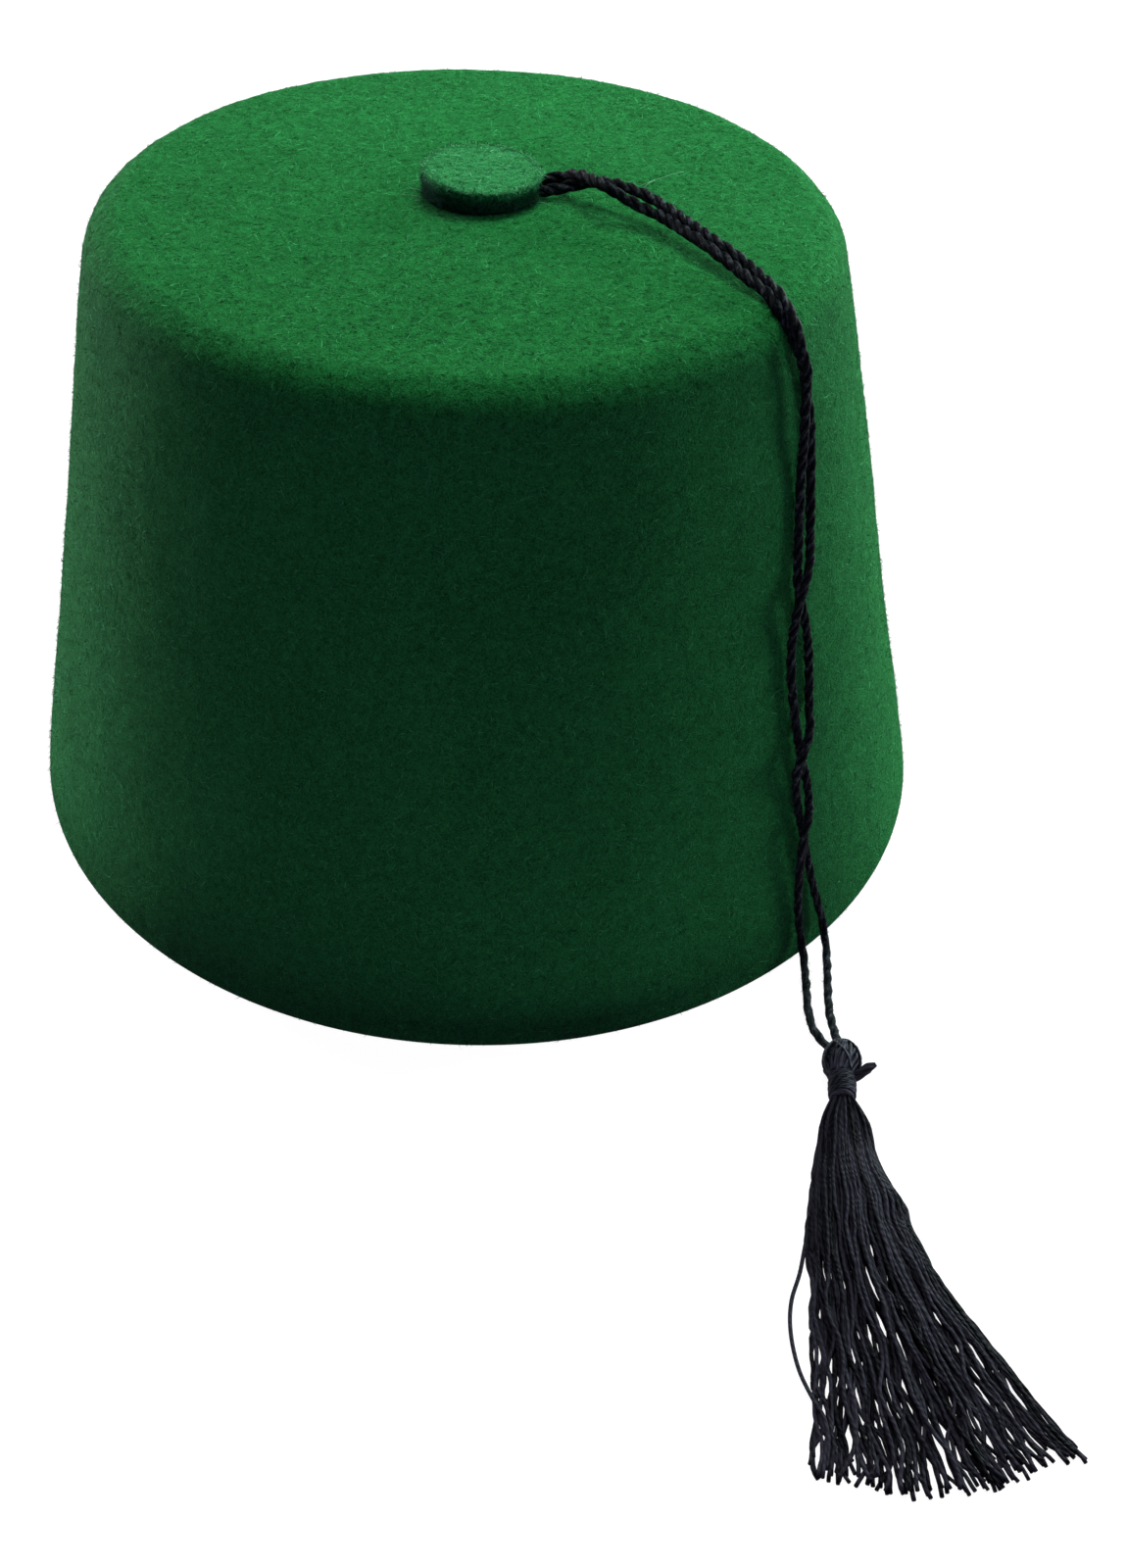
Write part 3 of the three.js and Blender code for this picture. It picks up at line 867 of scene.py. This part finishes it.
def makeHead():
    rng = np.random.default_rng(tassel["seed"])
    length, thin = tassel["bulbLength"], tassel["loopRadius"]
    core = np.linspace(0.25, length, 14)
    parts = [roundTube(onHead(core, 0.0, 0.0), bulbOut(core) - 0.62, 20)]
    for index in range(tassel["loops"]):
        angle = index / tassel["loops"] * 2 * math.pi + rng.uniform(-0.05, 0.05)
        share = np.linspace(0, 1, 15)
        along = 0.05 + share * (length - 0.05)
        turn = angle + 0.55 * share + 0.10 * np.sin(share * 5 + rng.uniform(0, 6))
        out = np.maximum(bulbOut(along) - thin * 0.9 + rng.uniform(-0.12, 0.06), 0.5)
        path = onHead(along, out, turn)
        radii = thin * np.interp(share, [0, 0.3, 1], [0.55, 1, 0.8])
        parts.append(roundTube(path, radii, 7, start=rng.uniform(0, 9)))
    for _ in range(tassel["crossLoops"]):  # loops that cross over the rest
        angle = rng.uniform(0, 2 * math.pi)
        share = np.linspace(0, 1, 15)
        along = 0.2 + share * (length - 0.4)
        turn = angle + rng.choice([-1, 1]) * rng.uniform(0.6, 1.5) * share
        path = onHead(along, bulbOut(along) + 0.02, turn)
        parts.append(roundTube(path, thin * 0.85, 7, start=rng.uniform(0, 9)))
    points, faces, lay = joined(parts)
    points[:, 2] = np.maximum(points[:, 2], tassel["lowest"])
    head = makePiece("tassel_head", points, faces, paintedLitHeadMaterial, lay)
    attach(head, "root")
    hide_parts("tassel")
    return head


def makeBinding():
    turns, perTurn = tassel["wraps"], 26
    share = np.linspace(0, 1, turns * perTurn + 1)
    first, last = tassel["bulbLength"] + 0.15, tassel["bulbLength"] + tassel["neckLength"] - 0.2
    out = tassel["neckRadius"] + 0.12 * np.sin(share * math.pi) + 0.05 * np.sin(share * 23)
    path = onHead(first + share * (last - first), out, share * turns * 2 * math.pi)
    cover = np.linspace(first - 0.4, last + 0.6, 6)
    inner = roundTube(onHead(cover, 0.0, 0.0), tassel["neckRadius"] - 0.02, 20)
    points, faces, lay = joined([roundTube(path, tassel["wrapRadius"], 7), inner])
    binding = makePiece("neck_binding", points, faces, paintedLitHeadMaterial, lay)
    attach(binding, "root")
    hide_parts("binding")
    return binding


def makeStub():
    root = onHead(tassel["bulbLength"] + tassel["stubFrom"], 0.0, 0.0)
    out = headingVector(-tassel["stubHeading"]) + headUp * tassel["stubRise"]
    out = out / np.linalg.norm(out)
    share = np.linspace(0, 1, 30)
    path = root + out * (share * tassel["stubLength"])[:, None]
    path = path + headAhead * (np.sin(share * 3) * -0.5)[:, None]
    length = evenly(path, cord["step"])[1][-1]
    full = [(part * length, more) for part, more in tassel["stubFull"]]
    _, (points, faces, lay) = pliedTube(path, 1.0, full, tassel["stubLoose"])
    # its lay across is set to one value, so the thread material's painted facing shade is even along the tie
    # end
    stub = makePiece("tie_end", points, faces, threadMaterial, lay * (1, 0, 1) - (0, 0.45, 0))
    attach(stub, "root")


head = makeHead()
binding = makeBinding()
makeStub()
print("tassel head and binding made")


# Skirt: threads that lie on each other and spread over the floor
skirt = {
    "threads": 126,
    "seed": 77,
    "radius": 0.35,
    "step": 1.0,
    "stations": 84,  # places along each thread while it is laid
    "neckEnd": 12.4,
    "neckHeight": 3.7,
    "neckSpread": 1.9,
    "clumps": 30,
    "clumpSway": 0.006,  # as a share of the skirt's width
    "ownSway": 0.0175,
    "cutUneven": 1.8,  # how far short of the rest a thread may be cut
    "crimp": 0.06,
    "crimpWaves": (9, 14, 21),
    "left": [  # its left edge on the floor, from the neck down
        (28.9, -125.4), (24.9, -130.3), (21.4, -136.2), (18.7, -140.8), (16.1, -145.3), (11.8, -154.4),
        (9.6, -160.5), (8.3, -164.1), (6.2, -169.4), (3.7, -175.8), (0.3, -183.7), (-3.8, -192.3),
    ],
    "right": [
        (31.6, -126.9), (32.5, -132.7), (31.2, -139.3), (30.8, -144.6), (31.2, -150.1), (30.1, -155.1),
        (30, -160.2), (30.2, -170.1), (31.8, -180.3), (33.1, -189.7), (34, -194.6), (36, -200),
    ],
    "ends": [  # the place from left to right, and how much further the threads reach there
        (0, 0.4), (0.13, 1.6), (0.36, 5.4), (0.66, 5.6), (0.85, 2.4), (1, 2.6),
    ],
    "loop": [  # the long thread that bows out at the left
        (15.7, -147.7, 0.9), (12.1, -153, 0.5), (8.8, -158.2, 0.36), (5.7, -162.3, 0.36),
        (3.9, -165.7, 0.36), (2.4, -170.1, 0.36), (1.4, -175.5, 0.36), (1.3, -181, 0.7),
        (1.5, -184.7, 1.0), (0.4, -188.7, 0.9), (-1.6, -192.5, 0.4),
    ],
}


def wander(rng, count, steps, waves):  # smooth random offsets, one row for each thread
    share = np.linspace(0, 1, steps)[None, :]
    total = np.zeros((count, steps))
    for wave in waves:
        total += rng.normal(size=(count, 1)) * np.sin(2 * math.pi * (wave * share + rng.random((count, 1))))
    return total / len(waves) ** 0.5


def flatCurve(points, steps):  # a curve on the floor
    return stopsOn(smoothCurve([(x, y, 0.0) for x, y in points]), steps)[0][:, :2]


def makeSkirt():
    rng = np.random.default_rng(skirt["seed"])
    count, steps, radius, clumpCount = (skirt[key] for key in ("threads", "stations", "radius", "clumps"))
    place = (np.arange(count) + 0.5) / count
    place = place + rng.uniform(-0.5, 0.5, count) / count * 3
    order = rng.permutation(count)
    place = np.clip(place, 0.0, 1.0)
    share = np.linspace(0, 1, steps)
    clumps = wander(rng, clumpCount, steps, (1.1, 2.2, 3.3))
    which = np.clip((place * clumpCount).astype(int), 0, clumpCount - 1)
    loosen = np.interp(share, [0, 0.3, 0.6, 1], [0, 0.6, 1.2, 1.5])[None]
    loosen = loosen * np.interp(place, [0, 0.4, 0.7, 1], [1.45, 1.25, 1.0, 1.0])[:, None]
    own = wander(rng, count, steps, (1.2, 2.4, 3.7, 5.0))
    lean = clumps[which] * skirt["clumpSway"] + own * skirt["ownSway"]
    across = np.clip(place[:, None] + lean * loosen, -0.012, 1.012)
    reach = np.interp(place, *zip(*skirt["ends"])) - rng.exponential(skirt["cutUneven"], count) + 1.0
    left, right = flatCurve(skirt["left"], steps), flatCurve(skirt["right"], steps)
    flat = left[None] * (1 - across[..., None]) + right[None] * across[..., None]
    ahead = unit(flat[:, -1] - flat[:, -4])
    flat = flat + ahead[:, None] * (reach[:, None] * (share ** 3)[None])[..., None]
    heights = np.full((count, steps), radius)
    for rank, index in enumerate(order):  # each thread lies on those laid before it
        if rank == 0:
            continue
        below = order[:rank]
        gap = np.linalg.norm(flat[below] - flat[index], axis=2)
        over = np.sqrt(np.maximum(4 * radius ** 2 - gap ** 2, 0)) * 0.72
        rest = np.where(gap < 2 * radius, heights[below] + over, radius)
        tall = rest.max(axis=0)
        spreadTall = np.maximum(tall, np.maximum(np.roll(tall, 1), np.roll(tall, -1)) - 0.12)
        spreadTall[0], spreadTall[-1] = tall[0], tall[-1]
        smoothed = np.convolve(np.pad(spreadTall, 3, mode="edge"), np.ones(7) / 7, "valid")
        heights[index] = np.maximum(smoothed, radius)
    width = np.linalg.norm(right - left, axis=1)[None]
    inset = np.minimum(np.clip(across, 0, 1), 1 - np.clip(across, 0, 1)) * width
    dome = np.sqrt(np.clip(1 - (1 - 2 * inset / width) ** 2, 0, 1))
    limit = 0.45 + dome * np.interp(share, [0, 0.3, 1], [3.4, 3.0, 2.2])[None]
    heights = radius + (limit - radius) * (1 - np.exp(-(heights - radius) / 2.1))  # the pile sinks in
    ring = rng.uniform(0, 2 * math.pi, count)
    deep = np.sqrt(rng.random(count)) * skirt["neckSpread"]
    level = skirt["neckHeight"] + np.sin(ring) * deep
    neck = np.clip(share / 0.20, 0, 1)
    neck = (neck * neck * (3 - 2 * neck))[None]  # a smooth step down from the neck to the floor
    heights = level[:, None] * (1 - neck) + heights * neck
    middle = headTop + headAhead * skirt["neckEnd"]
    begin = middle[None, :2] + headSide[None, :2] * (np.cos(ring) * deep)[:, None]
    near = np.clip(1 - share / 0.10, 0, 1)[None, :, None]
    flat = flat * (1 - near) + begin[:, None] * near
    crimp = np.zeros((count, steps))
    for wave in skirt["crimpWaves"]:
        turns = wave * rng.uniform(0.85, 1.15, (count, 1)) * share[None] + rng.random((count, 1))
        crimp += np.sin(2 * math.pi * turns)
    crimp = crimp * skirt["crimp"] * np.clip(share * 4, 0, 1)[None]
    aside = unit(right - left)[None]
    flat = flat + aside * crimp[..., None]
    paths = np.concatenate([flat, heights[..., None]], axis=2)
    parts = []
    for index in range(count):
        even, gone = evenly(paths[index], skirt["step"])
        slim = np.interp(gone, [0, 6, 20], [0.6, 0.85, 1.0]) * radius * rng.uniform(0.92, 1.08)
        parts.append(roundTube(even, slim, 6, start=rng.uniform(0, 9)))
    loop = smoothCurve(skirt["loop"])
    parts.append(roundTube(evenly(loop, 0.9)[0], radius, 6))
    middleOne = len(parts) // 2
    for number, group in enumerate((parts[:middleOne], parts[middleOne:])):
        points, faces, lay = joined(group)
        points[:, 2] = np.maximum(points[:, 2], onFloor)
        threads = makePiece("skirt_threads_%d" % (number + 1), points, faces, threadMaterial, lay)
        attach(threads, "root")


makeSkirt()
print("skirt laid")


# A few loose fibres that lie on the felt beside the button
stray = {
    "radius": 0.055,
    "colour": (0.20, 0.52, 0.30, 1),
    "hairs": [
        [(31.6, -5.1, 120.95), (33.4, -4.9, 121.35), (35.8, -4.1, 121.45), (38.8, -2.7, 121.4),
         (42.2, -0.9, 120.9)],
        [(31.8, -6.7, 120.95), (33, -6.1, 121.6), (35.3, -3.8, 121.3)],
        [(-9.3, 8.6, 121.2), (-8, 7.6, 121.7), (-5.5, 9.3, 121.3)],
        [(-8.8, 6.1, 121.2), (-7.8, 3.4, 121.8), (-6.5, 2.2, 121.4)],
        [(-11.3, 3.7, 121.15), (-9.9, 1.8, 121.7), (-7.9, 1.3, 121.3)],
        [(-9.2, 0.3, 121.2), (-8.6, -0.8, 121.7), (-7.6, -0.2, 121.4)],
        [(11.1, -7.2, 121.2), (11.9, -8.1, 121.7), (13.3, -8.4, 121.1)],
    ],
}


def makeStrayHairs():
    material, shade, shader = newMaterial("stray_fibre", {"Roughness": 0.8, "Specular IOR Level": 0.1})
    grain = cloud(shade, inMillimetres(shade), 1.2)
    darker = tuple(value * 0.6 for value in stray["colour"][:3]) + (1,)
    finishShader(shade, shader, mixColour(grain, darker, stray["colour"]), grain, 0.01)
    parts = [roundTube(evenly(smoothCurve(hair), 0.4)[0], stray["radius"], 5) for hair in stray["hairs"]]
    points, faces, lay = joined(parts)
    hairs = makePiece("stray_hairs", points, faces, material, lay)
    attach(hairs, "root")


makeStrayHairs()

for half, path, length, end in (
    (rightHalf, rightPath, rightLength, head),
    (leftHalf, leftPath, leftLength, binding),
):
    route = [tuple(point) for point in (path[::4] * mm).tolist()]
    tuple(path[0] * mm)
    length * mm


# Stage: a pale floor with a pale ring round it, and soft light from above and behind
studio = {
    "floorSize": 16000,
    "floorDark": (0.26, 0.26, 0.25, 1),
    "floorLight": (0.28, 0.28, 0.275, 1),
    "floorGlow": 0.95,  # so that it comes out white
    "backdropSides": 48,
    "backdropHeight": 6000,
    "world": (0.074, 0.046, 0.118, 1),
    "lights": [  # name, place, aim, size, power and colour
        ("behind", (165, 250, 600), (0, 0, 60), (240, 240), 3.02, (0.92, 1, 0.94)),
        ("over", (-30, -90, 700), (0, 0, 60), (260, 260), 0.52, (1, 1, 1)),
        ("right", (847, 489, 268), (0, 0, 60), (300, 420), 12.0, (0.75, 1, 0.88)),
        ("side", (978, -34, 268), (0, 0, 60), (300, 300), 4.0, (1.1, 1, 1.2)),
        ("left", (-500, 740, 160), (0, 0, 60), (300, 300), 8.0, (1.3, 1, 1.2)),
        ("front_bounce", (0, -215, 4), (0, -215, 500), (220, 220), 0.066, (1.2, 1, 1.35)),
        ("left_bounce", (-215, 0, 4), (-215, 0, 500), (240, 240), 0.085, (1.2, 1, 1.3)),
    ],
}


def makeStage():
    half = studio["floorSize"] / 2
    corners = [(-half, -half, 0), (half, -half, 0), (half, half, 0), (-half, half, 0)]
    material, shade, shader = newMaterial("pale_floor", {"Roughness": 0.9, "Specular IOR Level": 0.1})
    grain = cloud(shade, inMillimetres(shade), 60, 2.0)
    colour = mixColour(grain, studio["floorDark"], studio["floorLight"])
    finishShader(shade, shader, colour, grain, 0.01)
    shader.inputs["Emission Color"].default_value = (1, 1, 1, 1)
    shader.inputs["Emission Strength"].default_value = studio["floorGlow"]
    ground = makePiece("floor", corners, [(0, 1, 2, 3)], material)
    turns = np.linspace(0, 2 * math.pi, studio["backdropSides"], endpoint=False)
    ring = np.column_stack([np.cos(turns), np.sin(turns)]) * half * 0.95
    wall = np.vstack([np.insert(ring, 2, height, axis=1) for height in (-10, studio["backdropHeight"])])
    backdrop = makePiece("backdrop", wall, gridFaces(2, len(ring), flip=True), material)
    backdrop.visible_shadow = False
    backdrop.visible_glossy = False
    for piece in (ground, backdrop):
        piece.visible_diffuse = False
    world = bpy.data.worlds.new("studio")
    bpy.context.scene.world = world
    world.use_nodes = True
    back = world.node_tree.nodes["Background"]
    back.inputs[0].default_value = studio["world"]
    for name, place, aim, size, power, tint in studio["lights"]:
        data = bpy.data.lights.new(name, "AREA")
        data.shape = "RECTANGLE"
        data.size, data.size_y = size[0] * mm, size[1] * mm
        data.energy = power
        data.color = tint
        lamp = bpy.data.objects.new(name, data)
        lamp.visible_camera = False
        lamp.location = Vector(place) * mm
        lamp.rotation_euler = (Vector(aim) - Vector(place)).to_track_quat("-Z", "Y").to_euler()
        bpy.context.scene.collection.objects.link(lamp)
    bpy.context.scene.view_settings.view_transform = "Standard"


makeStage()
print("stage and lights set")
